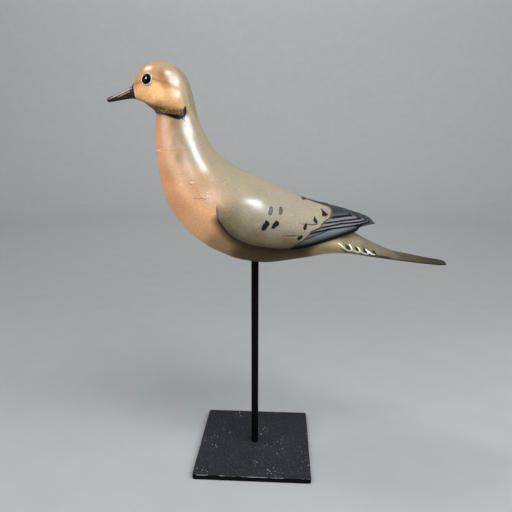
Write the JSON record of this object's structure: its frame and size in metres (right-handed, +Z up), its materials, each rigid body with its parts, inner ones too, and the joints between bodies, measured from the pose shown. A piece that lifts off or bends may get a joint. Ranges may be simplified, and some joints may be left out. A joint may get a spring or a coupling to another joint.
{
  "type": "pigeon decoy",
  "caption": "Carved and painted wooden mourning dove decoy with folded wings and long tail, held up by a black rod on a square plate.",
  "frame": {"origin": "middle of the base plate's flat underside", "axes": "+Z up along the rod, the bird faces -X with its tail towards +X, its left side faces -Y"},
  "size_m": [0.2827, 0.1016, 0.343],
  "materials": {
    "plate_black": "satin black paint",
    "rod_black": "satin black paint",
    "body_paint": "airbrushed paint under gloss varnish",
    "head_paint": "airbrushed paint under gloss varnish",
    "eye_glass": "polished black"
  },
  "bodies": {
    "root": {"base_plate": "plate_black", "rod": "rod_black", "body": "body_paint", "head": "head_paint", "eye_left": "eye_glass", "eye_right": "eye_glass"}
  },
  "joints": []
}
